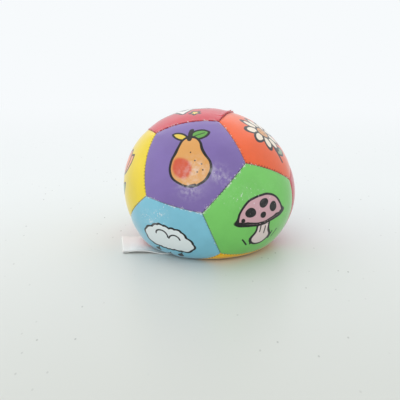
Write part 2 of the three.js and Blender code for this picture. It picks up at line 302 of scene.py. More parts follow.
class Ball:
    """The sewn ball: twelve panels laid out on a round ball and carried over to the settled one."""

    LIFT_BEFORE, LIFT_AFTER = 3 * MM, 2 * MM  # the cover rises over the label about its seam
    NEAR = 0.4  # least cosine between the middles of two panels that share a seam
    STEP = 0.002  # along and across the round ball, to find the cover's slope
    SQUARE = 1 * MM  # depth to which pieces lie square to the cover

    def __init__(self, settings):
        shape = settings.shape
        self.settings = settings
        self.radius = np.cbrt(shape.width * shape.depth * shape.height) / 2
        self.middle = np.array((0, 0, shape.centre_height))
        lean = turned(1, shape.lean)
        self.stretch = lean @ np.diag((shape.width, shape.depth, shape.height)) @ lean.T / 2
        roll = turned(2, -shape.roll_left) @ turned(0, np.pi / 2 - shape.roll_up)
        roll = roll @ turned(2, shape.roll_spin)
        self.axes = {name: roll @ self.round_axis(*plan[:2]) for name, plan in PANELS.items()}
        self.corners = self.find_corners()
        self.seams = self.find_seams()
        near, far = self.label_seam()
        side = unit(np.cross(self.corners[near], self.corners[far]))
        self.label_side = side * np.sign(side @ self.axes["under_left"])

    @staticmethod
    def round_axis(rings, turn):
        """Direction of a panel's middle while the front panel faces along +Z."""
        tilt = rings * RING_TILT if rings >= 0 else np.pi + (rings + 2) * -RING_TILT
        turn = np.radians(turn)
        return np.array((np.sin(tilt) * np.cos(turn), np.sin(tilt) * np.sin(turn), np.cos(tilt)))

    def touching(self, a, b):
        """Whether two panels share a seam."""
        return a != b and self.axes[a] @ self.axes[b] > self.NEAR

    def find_corners(self):
        """Unit directions of the twenty corners, keyed by the three panels that meet there."""
        keys = [
            key
            for key in combinations(sorted(self.axes), 3)
            if all(self.touching(*pair) for pair in combinations(key, 2))
        ]
        even = {key: unit(sum(self.axes[name] for name in key)) * self.radius for key in keys}
        return {
            key: unit(even[key] + MM * np.array(CORNER_SLIPS.get(key, (0, 0, 0)))) for key in keys
        }

    def find_seams(self):
        """The two corner keys of each seam, keyed by its two panels in alphabetical order."""
        names = list(self.axes)
        return {
            (a, b): [key for key in sorted(self.corners) if a in key and b in key]
            for a in names
            for b in names
            if a < b and self.touching(a, b)
        }

    def label_seam(self):
        """Near and far corner keys of the seam that holds the label."""
        ends = self.seams["base", "under_left"]
        return sorted(ends, key=lambda key: "lower_left" not in key)

    def foot_height(self, directions):
        """Zero, but the label's space past the seam that holds it."""
        past = directions @ self.label_side * self.radius
        return self.settings.label.space * smoothstep(-self.LIFT_BEFORE, self.LIFT_AFTER, past)

    def cover(self, directions, dent=0.0):
        """Points of the cover along directions of the round ball, a dent nearer the middle.

        The round ball is stretched to a leaning globe. A height h above the foot becomes
        (h + s)^2 / 4s within the shoulder s of the foot, and zero below it. Under the middle, at a
        height c, the cover slides to the left by the foot's slide times (1 - h / c)^2.
        """
        shape = self.settings.shape
        share = 1 - np.asarray(dent)[..., None] / self.radius
        points = (directions * share) @ self.stretch.T
        foot = self.foot_height(directions)
        above = points[..., 2] + shape.centre_height - foot
        rounded = np.maximum(above + shape.shoulder, 0) ** 2 / (4 * shape.shoulder)
        points[..., 2] = foot + np.where(above > shape.shoulder, above, rounded)
        points[..., 0] -= shape.slide * np.maximum(1 - points[..., 2] / shape.centre_height, 0) ** 2
        return points

    def outward(self, directions):
        """Unit normals of the cover, from small steps along and across it."""
        along = beside(directions, steep=0.7) * self.STEP
        across = np.cross(directions, along)
        here = self.cover(directions)
        ahead = self.cover(unit(directions + along)) - here
        aside = self.cover(unit(directions + across)) - here
        return unit(np.cross(ahead, aside))

    def below(self, directions, depth, dent=0.0):
        """Points a depth below the cover: square to it at first, then towards the middle."""
        points = self.cover(directions, dent)
        square = np.minimum(depth, self.SQUARE)[..., None]
        deeper = np.asarray(depth)[..., None] - square
        points -= self.outward(directions) * square
        return points - unit(points - self.middle) * deeper

    def outline(self, name):
        """A panel's corners on the plane that touches the round ball at its middle."""
        keys = [key for key in sorted(self.corners) if name in key]
        corners = np.array([self.corners[key] for key in keys])
        middle = unit(corners.sum(axis=0))
        right = unit(np.cross((0, 0, 1), middle))
        up = np.cross(middle, right)
        flat = corners @ np.stack((right, up), axis=1) / (corners @ middle)[:, None]
        order = np.argsort(np.arctan2(flat[:, 1], flat[:, 0]))
        flat, corners = flat[order], corners[order]
        keys = [set(keys[at]) - {name} for at in order]
        beyond = [(here & there).pop() for here, there in zip(keys, keys[1:] + keys[:1])]
        edge = np.roll(flat, -1, axis=0) - flat
        normal = unit(np.stack((edge[:, 1], -edge[:, 0]), axis=1))
        return SimpleNamespace(
            middle=middle,
            right=right,
            up=up,
            corners=corners,
            normal=normal,
            reach=(flat * normal).sum(axis=1),
            weight=corners @ middle,
            poles=unit(np.cross(corners, np.roll(corners, -1, axis=0))),
            beyond=beyond,
        )

    def panel_rows(self, outline, inset, share, per_edge):
        """Directions in rows round a panel, as an array of rows, points and x, y, z.

        Each edge line moves in by a row's inset, measured on the ball; neighbouring lines meet in
        the row's corners; points between two corners divide the straight line through the ball;
        and the row is drawn towards the middle by its share.
        """
        reach = np.tan(np.arctan(outline.reach) - np.asarray(inset)[:, None] / self.radius)
        last, before = np.roll(reach, 1, axis=1), np.roll(outline.normal, 1, axis=0)
        across = before[:, 0] * outline.normal[:, 1] - before[:, 1] * outline.normal[:, 0]
        x = (last * outline.normal[:, 1] - reach * before[:, 1]) / across
        y = (reach * before[:, 0] - last * outline.normal[:, 0]) / across
        corner = np.stack((x, y), axis=-1)[:, :, None]
        step = np.arange(per_edge)[:, None] / per_edge
        here = outline.weight[:, None, None] * (1 - step)
        there = np.roll(outline.weight, -1)[:, None, None] * step
        flat = (corner * here + np.roll(corner, -1, axis=1) * there) / (here + there)
        flat = flat.reshape(len(reach), -1, 2) * np.asarray(share)[:, None, None]
        return unit(outline.middle + flat @ np.stack((outline.right, outline.up)))

    def valley(self, away):
        """Dent of the cover at a distance from a seam: the seam's own, dying away as e^-d/spread."""
        cover = self.settings.cover
        return cover.dent * fading(away, cover.spread)

    def seam_places(self, outline, directions):
        """Distance to a panel's nearest seam, and how far along that seam, from its first corner."""
        away = np.arcsin(np.clip(directions @ outline.poles.T, -1, 1)) * self.radius
        nearest = away.argmin(axis=-1)
        corner, pole = outline.corners[nearest], outline.poles[nearest]
        aside = (directions * np.cross(pole, corner)).sum(axis=-1)
        along = np.arctan2(aside, (directions * corner).sum(axis=-1)) * self.radius
        return away.min(axis=-1), along, nearest


# Meshes


def new_object(name, points, faces, material):
    """A smooth mesh object at the origin from points and a list of face-corner arrays."""
    corners = np.concatenate([part.ravel() for part in faces]).astype(np.int32)
    counts = np.concatenate([np.full(len(part), part.shape[1]) for part in faces])
    starts = np.concatenate(((0,), counts.cumsum()[:-1])).astype(np.int32)
    mesh = bpy.data.meshes.new(name)
    mesh.vertices.add(len(points))
    mesh.vertices.foreach_set("co", np.asarray(points, np.float32).ravel())
    mesh.loops.add(len(corners))
    mesh.loops.foreach_set("vertex_index", corners)
    mesh.polygons.add(len(counts))
    mesh.polygons.foreach_set("loop_start", starts)
    mesh.update(calc_edges=True)
    mesh.validate()
    mesh.shade_smooth()
    mesh.materials.append(material)
    made = bpy.data.objects.new(name, mesh)
    bpy.context.scene.collection.objects.link(made)
    return made


def write_values(made, **values):
    """Store numbers for each point of a piece under their names, for its material to read."""
    for name, numbers in values.items():
        attribute = made.data.attributes.new(name, "FLOAT", "POINT")
        attribute.data.foreach_set("value", np.asarray(numbers, np.float32).ravel())


def write_colours(made, name, values):
    """Store one colour for each point of a piece, for its material to read."""
    rgba = np.ones((len(values), 4), np.float32)
    rgba[:, :3] = values
    made.data.attributes.new(name, "FLOAT_COLOR", "POINT").data.foreach_set("color", rgba.ravel())


def band_faces(rows, columns, first=0, closed=True):
    """Four-cornered faces between neighbouring rows of points, round each row where closed."""
    row = np.arange(rows - 1)[:, None] * columns + first
    here = np.arange(columns if closed else columns - 1)
    there = (here + 1) % columns
    quads = (row + here, row + columns + here, row + columns + there, row + there)
    return np.stack(quads, axis=-1).reshape(-1, 4)


def fan_faces(columns, pole=0):
    """Three-cornered faces from a pole to the closed row of points that follows it."""
    here = np.arange(columns) + 1
    return pole + np.stack((np.zeros(columns, int), here, here % columns + 1), axis=-1)


def capped_faces(rows, columns):
    """Faces of closed rows between two poles: pole, rows in order, pole."""
    here = np.arange(columns) + (rows - 1) * columns + 1
    last = np.full(columns, rows * columns + 1)
    last_fan = np.stack((here, last, np.roll(here, -1)), axis=-1)
    return [fan_faces(columns), band_faces(rows, columns, first=1), last_fan]


def tube(path, radius, sides):
    """Points and faces of a round tube of a radius carried along a path of points."""
    ahead = unit(np.gradient(path, axis=0))
    aside = beside(ahead, steep=0.9)
    above = np.cross(ahead, aside)
    turn = 2 * np.pi * np.arange(sides)[:, None] / sides
    rings = np.cos(turn) * aside[:, None] + np.sin(turn) * above[:, None]
    rings = path[:, None] + rings * np.asarray(radius).reshape(-1, 1, 1)
    points = np.concatenate((path[:1], rings.reshape(-1, 3), path[-1:]))
    return points, [part[:, ::-1] for part in capped_faces(len(path), sides)]


def hashed_waves(seed, value, lengths):
    """Smooth seeded waver between about -1 and 1: sines of a few wavelengths with set phases."""
    phases = np.random.default_rng(seed).uniform(0, 2 * np.pi, len(lengths))
    waves = [np.sin(2 * np.pi * value / wave + at) for wave, at in zip(lengths, phases)]
    return sum(waves) / len(lengths)


# Prints, in millimetres on a flat panel: x to the right, y up, distances negative inside


def spun(x, y, turn):
    """Places seen from axes that are turned counter-clockwise by a number of degrees."""
    c, s = np.cos(np.radians(turn)), np.sin(np.radians(turn))
    return x * c + y * s, y * c - x * s


def disc(x, y, at, rx, ry=None, turn=0.0):
    """Distance to an ellipse: the scaled radius less one, times the smaller half-axis."""
    ry = rx if ry is None else ry
    u, v = spun(x - at[0], y - at[1], turn)
    return (np.hypot(u / rx, v / ry) - 1) * min(rx, ry)


def bar(x, y, start, end, radius):
    """Distance to a straight stroke with round ends."""
    dx, dy = end[0] - start[0], end[1] - start[1]
    share = np.clip(((x - start[0]) * dx + (y - start[1]) * dy) / (dx * dx + dy * dy), 0, 1)
    return np.hypot(x - start[0] - share * dx, y - start[1] - share * dy) - radius


def leaf(x, y, start, end, fullness):
    """Distance to a leaf: where two equal discs on either side of its spine overlap."""
    span = np.hypot(end[0] - start[0], end[1] - start[1])
    half = span / 2
    radius = (half * half + fullness * fullness) / (2 * fullness)
    mx, my = (start[0] + end[0]) / 2, (start[1] + end[1]) / 2
    ox = -(end[1] - start[1]) / span * (radius - fullness)
    oy = (end[0] - start[0]) / span * (radius - fullness)
    left = np.hypot(x - mx - ox, y - my - oy)
    right = np.hypot(x - mx + ox, y - my + oy)
    return np.maximum(left, right) - radius


def polygon(x, y, points):
    """Distance to a closed straight-edged shape, with its inside by crossing counts."""
    nearest = np.full(x.shape, np.inf)
    inside = np.zeros(x.shape, bool)
    for (x0, y0), (x1, y1) in zip(points, points[1:] + points[:1]):
        nearest = np.minimum(nearest, bar(x, y, (x0, y0), (x1, y1), 0))
        rising = (y0 > y) != (y1 > y)
        slope = (x1 - x0) / (y1 - y0) if y1 != y0 else 0
        inside ^= rising & (x < x0 + (y - y0) * slope)
    return np.where(inside, -nearest, nearest)


def merged(*distances, soft=0.0):
    """Distance to shapes joined together, with a soft fillet of about that size."""
    total = distances[0]
    for distance in distances[1:]:
        near = np.maximum(soft - np.abs(total - distance), 0) / soft if soft else 0
        total = np.minimum(total, distance) - near * near * soft / 4
    return total


class Print:
    """A drawing on a flat panel: later shapes hide earlier ones, and each gets an inked outline."""

    LINE = 1.3  # width of an inked line
    BLEED = 0.25  # how far a tint runs out under its outline
    SOFT = (-1.2, 0.8)  # distances between which a patch fades
    FAR = 9.0  # distance that means no print

    def __init__(self, x, y, ink):
        self.x, self.y = x, y
        self.fill = np.full(x.shape, self.FAR)
        self.line = np.full(x.shape, self.FAR)
        self.tint = np.zeros((*x.shape, 3)) + ink

    def shape(self, distance, tint):
        """Paint a filled shape with an outline."""
        self.tint[distance < self.BLEED] = linear(*tint)
        self.fill = np.minimum(self.fill, distance)
        self.line = np.maximum(self.line, -distance)
        self.stroke(np.abs(distance) - self.LINE / 2)

    def stroke(self, *distances):
        """Ink one or more strokes, given as distances to their edges."""
        for distance in distances:
            self.line = np.minimum(self.line, distance)

    def patch(self, distance, tint):
        """Tint a spot of what is painted already, with a soft edge and no outline."""
        share = (1 - smoothstep(*self.SOFT, distance))[..., None]
        self.tint += (np.array(linear(*tint)) - self.tint) * share


def draw_pear(p, x, y):
    """A pear with a blushed cheek, a stalk and two leaves."""
    p.shape(leaf(x, y, (0.5, 13), (12.5, 17.5), 3.2), (96, 160, 66))
    p.stroke(bar(x, y, (2, 13.6), (10, 16.5), 0.3))
    p.shape(leaf(x, y, (0, 13), (-8.5, 17.5), 2.4), (226, 196, 70))
    body = merged(disc(x, y, (0, -6), 11.5, 10.6), disc(x, y, (1, 7), 6, 7), soft=7)
    p.shape(body, (219, 158, 88))
    p.patch(np.maximum(disc(x, y, (-4.5, -5.5), 5.6, 6.6, 20), body + 1), (206, 84, 52))
    p.shape(bar(x, y, (0.8, 12.5), (2.6, 19), 0.7), (92, 66, 44))
    p.stroke(*(disc(x, y, at, 0.5) for at in ((4, -9), (6.5, -4.5), (3, -2), (7, -8), (1.5, 3.5))))
    p.stroke(bar(x, y, (-1.4, -16), (1.6, -15.6), 0.55))


def draw_toadstool(p, x, y):
    """A spotted toadstool on a tuft of grass."""
    stem = merged(bar(x, y, (0, -13), (0.5, 2), 4.2), disc(x, y, (-0.5, -14), 6.5, 4), soft=4)
    p.shape(stem, (226, 208, 206))
    dome = np.maximum(disc(x, y, (0, 0), 15.5, 14), -y)
    p.shape(merged(dome, disc(x, y, (0, 0), 15.5, 4), soft=1), (208, 164, 172))
    for at, rx, ry in (((-7.5, 5), 3.4, 3), ((1.5, 9), 3.2, 2.7), ((8.2, 4.6), 2.8, 3.2)):
        p.stroke(disc(x, y, at, rx, ry))
    p.stroke(disc(x, y, (0.4, 2), 2.0), disc(x, y, (-12.4, 1), 1.2, 1.5))
    p.stroke(np.maximum(np.abs(disc(x, y, (0, 0.6), 12.5, 3.2)) - 0.5, y + 0.4))
    for foot, tip in ((-9, -12), (-6.6, -7.5), (6.4, 8.5), (9, 12.5)):
        p.stroke(bar(x, y, (foot, -17.5), (tip, -12.5), 0.5))
    p.stroke(bar(x, y, (-1.6, -9), (-1.4, -3.5), 0.4), bar(x, y, (1.8, -11), (1.9, -6), 0.4))


def draw_cloud(p, x, y):
    """A scalloped cloud with three drops."""
    billows = (((-9, 0), 6.4), ((-2.5, 3.6), 7.6), ((5.5, 3), 7), ((11, -0.6), 5.4))
    body = merged(*(disc(x, y, at, size) for at, size in billows), soft=3)
    body = merged(body, bar(x, y, (-9, -2.6), (10, -2.8), 3.6), soft=2)
    scallop = 0.55 * np.abs(np.sin(8.5 * np.arctan2(y - 1, x - 1)))
    p.shape(body - scallop, (222, 229, 229))
    p.stroke(np.maximum(np.abs(disc(x, y, (-2.5, 3.6), 4)) - 0.5, 3.2 - y))
    p.stroke(np.maximum(np.abs(disc(x, y, (5.5, 2.4), 3.4)) - 0.5, 2.6 - y))
    for at in ((-7, -11.5), (0.5, -14), (8, -11.5)):
        drop = merged(disc(x, y, at, 1.9), bar(x, y, at, (at[0] + 1.2, at[1] + 4), 0.3), soft=1.6)
        p.stroke(drop)


def draw_daisy(p, x, y):
    """A daisy with nine petals, a stalk and a leaf."""
    p.stroke(bar(x, y, (0, -3), (2.5, -18), 0.9))
    p.shape(leaf(x, y, (2, -13), (11.5, -9), 2.6), (138, 158, 120))
    for turn in np.arange(9) * 40 + 10:
        c, s = np.cos(np.radians(turn)), np.sin(np.radians(turn))
        p.shape(disc(x, y, (8.2 * c, 3 + 8.2 * s), 5.6, 2.9, turn), (240, 226, 206))
    p.shape(disc(x, y, (0, 3), 4.6), (214, 152, 92))
    p.stroke(*(disc(x, y, at, 0.45) for at in ((-1.5, 4), (1.2, 4.6), (0.2, 1.8), (2, 2.2))))


def star_points(at, outer, inner, turn):
    """Corners of a five-pointed star."""
    angles = np.radians(turn + 36 * np.arange(10))
    sizes = np.where(np.arange(10) % 2, inner, outer)
    return list(zip(at[0] + sizes * np.cos(angles), at[1] + sizes * np.sin(angles)))


def draw_star(p, x, y):
    """A plump five-pointed star with a paler heart, and two small ones."""
    p.shape(polygon(x, y, star_points((0, -1), 15, 7.6, 90)) - 1.2, (236, 232, 226))
    p.shape(polygon(x, y, star_points((0, -1), 7.2, 3.8, 90)) - 0.6, (170, 172, 172))
    for at in ((-13, 12), (13.5, 11)):
        p.shape(polygon(x, y, star_points(at, 3.2, 1.6, 80)) - 0.3, (240, 206, 96))


def draw_tulip(p, x, y):
    """A tulip with two leaves."""
    p.stroke(bar(x, y, (0, -2), (0.5, -18), 0.9))
    p.shape(leaf(x, y, (0.5, -17), (-10, -3), 2.8), (120, 162, 92))
    p.shape(leaf(x, y, (0.5, -17), (9.5, -5), 2.6), (120, 162, 92))
    p.shape(leaf(x, y, (-1, -2), (-8, 14), 4.2), (242, 168, 128))
    p.shape(leaf(x, y, (1, -2), (8, 14), 4.2), (242, 168, 128))
    p.shape(leaf(x, y, (0, -3), (0, 15), 5.4), (236, 140, 102))


def draw_balloon(p, x, y):
    """A balloon on a curly string."""
    string = np.abs(x - 1.3 * np.sin(y / 2.2)) - 0.45
    p.stroke(np.maximum(string, np.maximum(y + 7, -18 - y)))
    p.shape(polygon(x, y, [(-2.2, -8.6), (2.2, -8.6), (0, -5)]), (92, 150, 190))
    p.shape(disc(x, y, (0, 5), 10, 12), (104, 168, 206))
    p.patch(disc(x, y, (-3.8, 9), 2.2, 3.6, -20), (214, 234, 242))


def draw_boat(p, x, y):
    """A boat with two sails on a wavy sea."""
    p.shape(polygon(x, y, [(-13, -6), (13, -6), (8.5, -12), (-9, -12)]) - 0.6, (176, 116, 74))
    p.stroke(bar(x, y, (0, -6), (0, 16), 0.7))
    p.shape(polygon(x, y, [(1.8, -3.6), (12, -3.6), (1.8, 14)]) - 0.4, (240, 236, 226))
    p.shape(polygon(x, y, [(-1.8, -3.6), (-9.5, -3.6), (-1.8, 10)]) - 0.4, (224, 92, 84))
    p.stroke(np.maximum(np.abs(y + 15 - 0.9 * np.sin(x / 1.7)) - 0.5, np.abs(x) - 13))


def draw_apple(p, x, y):
    """An apple with a leaf."""
    p.shape(leaf(x, y, (0.5, 9.5), (9.5, 15), 2.6), (70, 132, 62))
    lobes = merged(disc(x, y, (-4.6, -1), 8.4, 10), disc(x, y, (4.6, -1), 8.4, 10), soft=2)
    p.shape(lobes, (206, 62, 58))
    p.patch(disc(x, y, (-7, 2.4), 2, 3.4, -15), (240, 190, 176))
    p.shape(bar(x, y, (0, 7), (-1.4, 13.5), 0.7), (92, 66, 44))


def draw_heart(p, x, y):
    """A heart with a smaller one beside it."""
    for at, size, tint in (((-1.5, 0), 1.0, (244, 214, 206)), ((12.5, 9), 0.38, (250, 226, 120))):
        u, v = (x - at[0]) / size, (y - at[1]) / size
        tip = polygon(u, v, [(-9.6, 1.2), (0, -12), (9.6, 1.2), (0, 4)])
        lobes = merged(disc(u, v, (-5.2, 4.2), 5.8), disc(u, v, (5.2, 4.2), 5.8), tip)
        p.shape(lobes * size, tint)


def draw_sun(p, x, y):
    """A sun with twelve rays."""
    for turn in np.arange(12) * np.pi / 6:
        c, s = np.cos(turn), np.sin(turn)
        p.shape(bar(x, y, (11.5 * c, 11.5 * s), (16 * c, 16 * s), 1.1), (222, 96, 52))
    p.shape(disc(x, y, (0, 0), 8.6), (236, 128, 62))
    p.patch(disc(x, y, (-2.4, 2.6), 3.4), (246, 190, 120))


def draw_moon(p, x, y):
    """A crescent moon with two stars."""
    p.shape(np.maximum(disc(x, y, (-2, 0), 13), 9.8 - np.hypot(x - 4, y - 2.6)), (246, 220, 110))
    for at, size in (((6.5, 5), 3.6), ((11, -7.5), 2.6)):
        p.shape(polygon(x, y, star_points(at, size, size / 2, 80)) - 0.3, (244, 240, 226))


DRAWINGS = {
    "pear": draw_pear,
    "toadstool": draw_toadstool,
    "cloud": draw_cloud,
    "daisy": draw_daisy,
    "star": draw_star,
    "tulip": draw_tulip,
    "balloon": draw_balloon,
    "boat": draw_boat,
    "apple": draw_apple,
    "heart": draw_heart,
    "sun": draw_sun,
    "moon": draw_moon,
}


# Materials


ROOM = linear(247, 250, 252)  # colour of the room behind the table


class Wire:
    """A socket of a node tree; arithmetic on it adds Math nodes."""

    def __init__(self, graph, socket):
        self.graph, self.socket = graph, socket

    def math(self, operation, *values):
        inputs = dict(enumerate(values))
        return self.graph.node("ShaderNodeMath", {"operation": operation}, inputs)

    def __add__(self, other):
        return self.math("ADD", self, other)

    def __sub__(self, other):
        return self.math("SUBTRACT", self, other)

    def __rsub__(self, other):
        return self.math("SUBTRACT", other, self)

    def __mul__(self, other):
        return self.math("MULTIPLY", self, other)

    def sine(self):
        return self.math("SINE", self)

    def wave(self, wavelength):
        """Sine of a length, up and down once in each wavelength."""
        return (self * (2 * np.pi / wavelength)).sine()

    def high(self, other):
        return self.math("MAXIMUM", self, other)

    def step(self, low, high):
        """0 at low and 1 at high, smooth between; low may be the larger."""
        inputs = {"Value": self, "From Min": low, "From Max": high}
        settings = {"interpolation_type": "SMOOTHSTEP"}
        return self.graph.node("ShaderNodeMapRange", settings, inputs)

    __radd__, __rmul__ = __add__, __mul__


class Graph:
    """One material's node tree, with one method that makes any node."""

    def __init__(self, name):
        self.material = bpy.data.materials.new(name)
        self.material.use_nodes = True
        self.tree = self.material.node_tree
        self.shader = self.tree.nodes["Principled BSDF"]

    @classmethod
    def of_world(cls, world):
        """The node tree of a world's background."""
        graph = cls.__new__(cls)
        graph.tree = world.node_tree
        graph.shader = graph.tree.nodes["Background"]
        return graph

    def node(self, kind, settings=None, inputs=None, output=0):
        """Make a node, set its settings and then its sockets, and give one of its outputs."""
        made = self.tree.nodes.new(kind)
        for key, value in (settings or {}).items():
            setattr(made, key, value)
        for key, value in (inputs or {}).items():
            self.fill(made.inputs[key], value)
        return Wire(self, made.outputs[output])

    def fill(self, socket, value):
        """Link a wire into a socket, or set the socket's own value."""
        if isinstance(value, Wire):
            self.tree.links.new(value.socket, socket)
        elif hasattr(value, "__len__") and socket.type == "RGBA":
            socket.default_value = (*value[:3], 1.0)
        else:
            socket.default_value = value

    def finish(self, **sockets):
        """Fill the surface's sockets, named with _ for a space, and give the material."""
        for key, value in sockets.items():
            self.fill(self.shader.inputs[key.replace("_", " ")], value)
        return self.material

    def stored(self, name, output="Fac"):
        return self.node("ShaderNodeAttribute", {"attribute_name": name}, output=output)

    def noise(self, size, detail=3.0, roughness=0.6, place=None):
        """Noise from about 0 to 1 whose largest features have a size in metres."""
        place = place or self.node("ShaderNodeTexCoord", output="Object")
        inputs = {"Vector": place, "Scale": 1 / size, "Detail": detail, "Roughness": roughness}
        return self.node("ShaderNodeTexNoise", None, inputs)

    def stretched(self, scale, turn):
        """Object places scaled along x, y and z after a turn, for streaks."""
        place = self.node("ShaderNodeTexCoord", output="Object")
        inputs = {"Vector": place, "Rotation": turn, "Scale": scale}
        return self.node("ShaderNodeMapping", {"vector_type": "POINT"}, inputs)

    def mix(self, share, first, second):
        """Colour that goes from first to second as the share goes from 0 to 1."""
        inputs = {0: share, 6: first, 7: second}
        return self.node("ShaderNodeMix", {"data_type": "RGBA"}, inputs, output=2)

    def seen(self):
        """1 where the camera sees a place straight, in a reflection or through glass, or else 0."""
        ways = ("Camera", "Glossy", "Transmission")
        camera, glossy, through = (
            self.node("ShaderNodeLightPath", output=f"Is {way} Ray") for way in ways
        )
        return camera.high(glossy).high(through)

    def glowing(self, share, light):
        """Show a plain light in place of the surface, as far as the share goes from 0 to 1."""
        surface = Wire(self, self.shader.outputs[0])
        glow = self.node("ShaderNodeEmission", None, {"Color": light})
        both = self.node("ShaderNodeMixShader", None, {0: share, 1: surface, 2: glow})
        self.fill(self.tree.nodes["Material Output"].inputs["Surface"], both)

    def bump(self, height, distance, strength=1.0, under=None):
        inputs = {"Height": height, "Distance": distance, "Strength": strength}
        if under:
            inputs["Normal"] = under
        return self.node("ShaderNodeBump", None, inputs)


def shaded(tint, factor):
    """A colour times a factor, kept within 0 to 1."""
    return tuple(min(1.0, channel * factor) for channel in tint)


def printed(g, ground, ink):
    """The ground under the print's tints and its slightly ragged lines, with crisp edges."""
    crisp = 0.14  # millimetres on either side of an edge
    filled = g.stored("print_fill").step(crisp, -crisp)
    painted = g.mix(filled, ground, g.stored("print_tint", "Color"))
    ragged = g.noise(0.0006, detail=2) * 0.16 - 0.08
    return g.mix((g.stored("print_line") + ragged).step(crisp, -crisp), painted, ink)


def stitch_grime_and_shade(g, stitch, width, between):
    """Darkness of a stitched band from 0 to 1, partly grime and partly painted shade of the crease
    and stitch holes: a tick at each stitch, fading off the seam.
    """
    tick = g.stored("along").wave(stitch).step(0.0, 0.9) * (0.95 - between) + between
    inward = g.stored("seam") + (g.noise(0.0014, detail=2) - 0.5) * width
    return g.stored("stitches") * tick * inward.step(width, 0.28 * width)


def rubbing(g):
    """Share of the print that has rubbed off: flecks by seams, chips in scuffs, streaky haze."""
    wear, spots = g.stored("wear"), g.stored("flecks")
    grit = g.noise(0.0012, detail=4, roughness=0.65)
    flecks = (grit + wear * 0.3).step(0.66, 0.71) * wear.step(0.02, 0.15)
    chips = g.noise(0.0013, detail=3, place=g.stretched((1, 0.6, 1), (0.2, 0.5, 1.1)))
    specks = (chips + spots * 0.12).step(0.71, 0.75) * spots.step(0.05, 0.3)
    streaks = g.noise(0.0022, detail=5, place=g.stretched((1, 0.3, 1), (0.4, 0.3, 0.7)))
    haze = g.stored("haze") * streaks.step(0.36, 0.7) * 0.5
    return (flecks * 0.6).high(specks * 0.7).high(haze)


def vinyl_material(name, tint, colours, stitch, band):
    """Glossy vinyl: mottled colour, print, a dark stitched band of grime and painted shade, rubbed
    places and a fine grain.
    """
    g = Graph(name)
    kept, width, between = band
    mottle = g.noise(0.022, detail=4)
    ground = g.mix(mottle.step(0.3, 0.7), shaded(tint, 0.94), shaded(tint, 1.05))
    inked = printed(g, ground, colours.ink)
    # Stitched band: partly grime, partly painted shade of the crease and stitch holes
    grimy_and_shaded = g.mix(stitch_grime_and_shade(g, stitch, width, between), inked, shaded(tint, kept))
    rubbed = rubbing(g)
    worn = g.mix(rubbed * 0.9, grimy_and_shaded, colours.worn)
    normal = g.bump(g.noise(0.006, detail=2), 0.0004, 0.25)
    normal = g.bump(g.noise(0.0009, detail=3), 0.0001, 0.4, under=normal)
    return g.finish(
        Base_Color=worn,
        Roughness=0.28 + mottle * 0.08 + rubbed * 0.2,
        Specular_IOR_Level=0.3,
        Coat_Weight=0.2,
        Coat_Roughness=0.2,
        Sheen_Weight=0.35,
        Sheen_Roughness=0.3,
        Normal=normal,
    )


def thread_material(colours):
    """Twisted sewing thread, paler where it has rubbed."""
    g = Graph("sewing_thread")
    ply = 0.55  # millimetres from one turn of the twist to the next
    twist = (g.stored("along") * (2 * np.pi / ply) + g.stored("around")).sine()
    rub = g.noise(0.004).step(0.5, 0.75)
    tint = g.mix(rub, colours.thread, shaded(colours.thread, 1.9))
    normal = g.bump(twist, 0.00006, 0.8)
    return g.finish(Base_Color=tint, Roughness=0.75 + rub * 0.1, Normal=normal)


def fibre_material(colours):
    """Loose pale fibre."""
    g = Graph("stuffing_fibre")
    strands = g.noise(0.002, detail=6, roughness=0.7, place=g.stretched((1, 3, 1), (0.5, 0.9, 0.2)))
    tint = g.mix(strands, shaded(colours.fibre, 0.75), colours.fibre)
    normal = g.bump(strands, 0.0008, 0.8)
    return g.finish(Base_Color=tint, Roughness=0.9 + strands * 0.1, Normal=normal)


def ribbon_material(colours):
    """White satin ribbon: fine warp along it, weft across it and a firm edge."""
    g = Graph("ribbon_satin")
    weave = g.stored("across").wave(0.32) * 0.7 + g.stored("along").wave(0.5) * 0.3
    edge = g.stored("edge").step(1.3, 0.7)
    soil = g.noise(0.007, detail=4).step(0.45, 0.8)
    tint = g.mix(soil * 0.35, colours.ribbon, shaded(colours.ribbon, 0.82))
    tint = g.mix(edge * 0.35, tint, shaded(colours.ribbon, 0.8))
    normal = g.bump(weave + edge * 1.5, 0.00005, 0.7)
    return g.finish(
        Base_Color=tint,
        Roughness=0.34 + weave * 0.05 + soil * 0.1,
        Coat_Weight=0.5,
        Coat_Roughness=0.25,
        Normal=normal,
    )


def dust_share(g):
    """Specks from 0 to 1: the middles of some cells of a stretched 7 mm pattern, in patches."""
    cells = {"Vector": g.stretched((1.0, 0.5, 1.0), (0.0, 0.0, 0.4)), "Scale": 1 / 0.007}
    near, pick = (
        g.node("ShaderNodeTexVoronoi", {"voronoi_dimensions": "2D"}, cells, output=output)
        for output in ("Distance", "Color")
    )
    return near.step(0.09, 0.03) * pick.step(0.64, 0.85) * g.noise(0.06).step(0.42, 0.6)


def floor_material():
    """Glossy pale table with fine dust and painted shade that darkens it towards the front, fading
    to the room's own colour in the distance.
    """
    g = Graph("pale_table")
    place = g.node("ShaderNodeTexCoord", output="Object")
    from_front = {0: place, 1: (0.0, -0.4, 0.0)}
    away = g.node("ShaderNodeVectorMath", {"operation": "DISTANCE"}, from_front, output="Value")
    reach = g.node("ShaderNodeVectorMath", {"operation": "LENGTH"}, {0: place}, output="Value")
    # Painted shade: the table's own colour is darker towards the front and lighter far off
    tint = g.mix(away.step(0.1, 0.58), linear(199, 201, 194), linear(229, 232, 231))
    tint = g.mix(dust_share(g) * 0.6, tint, linear(110, 112, 108))
    g.glowing(g.seen() * away.step(0.5, 1.05).high(reach.step(0.45, 0.9)), ROOM)
    rough = 0.32 + g.noise(0.05) * 0.12
    return g.finish(Base_Color=tint, Roughness=rough, Specular_IOR_Level=0.3)


# Pieces


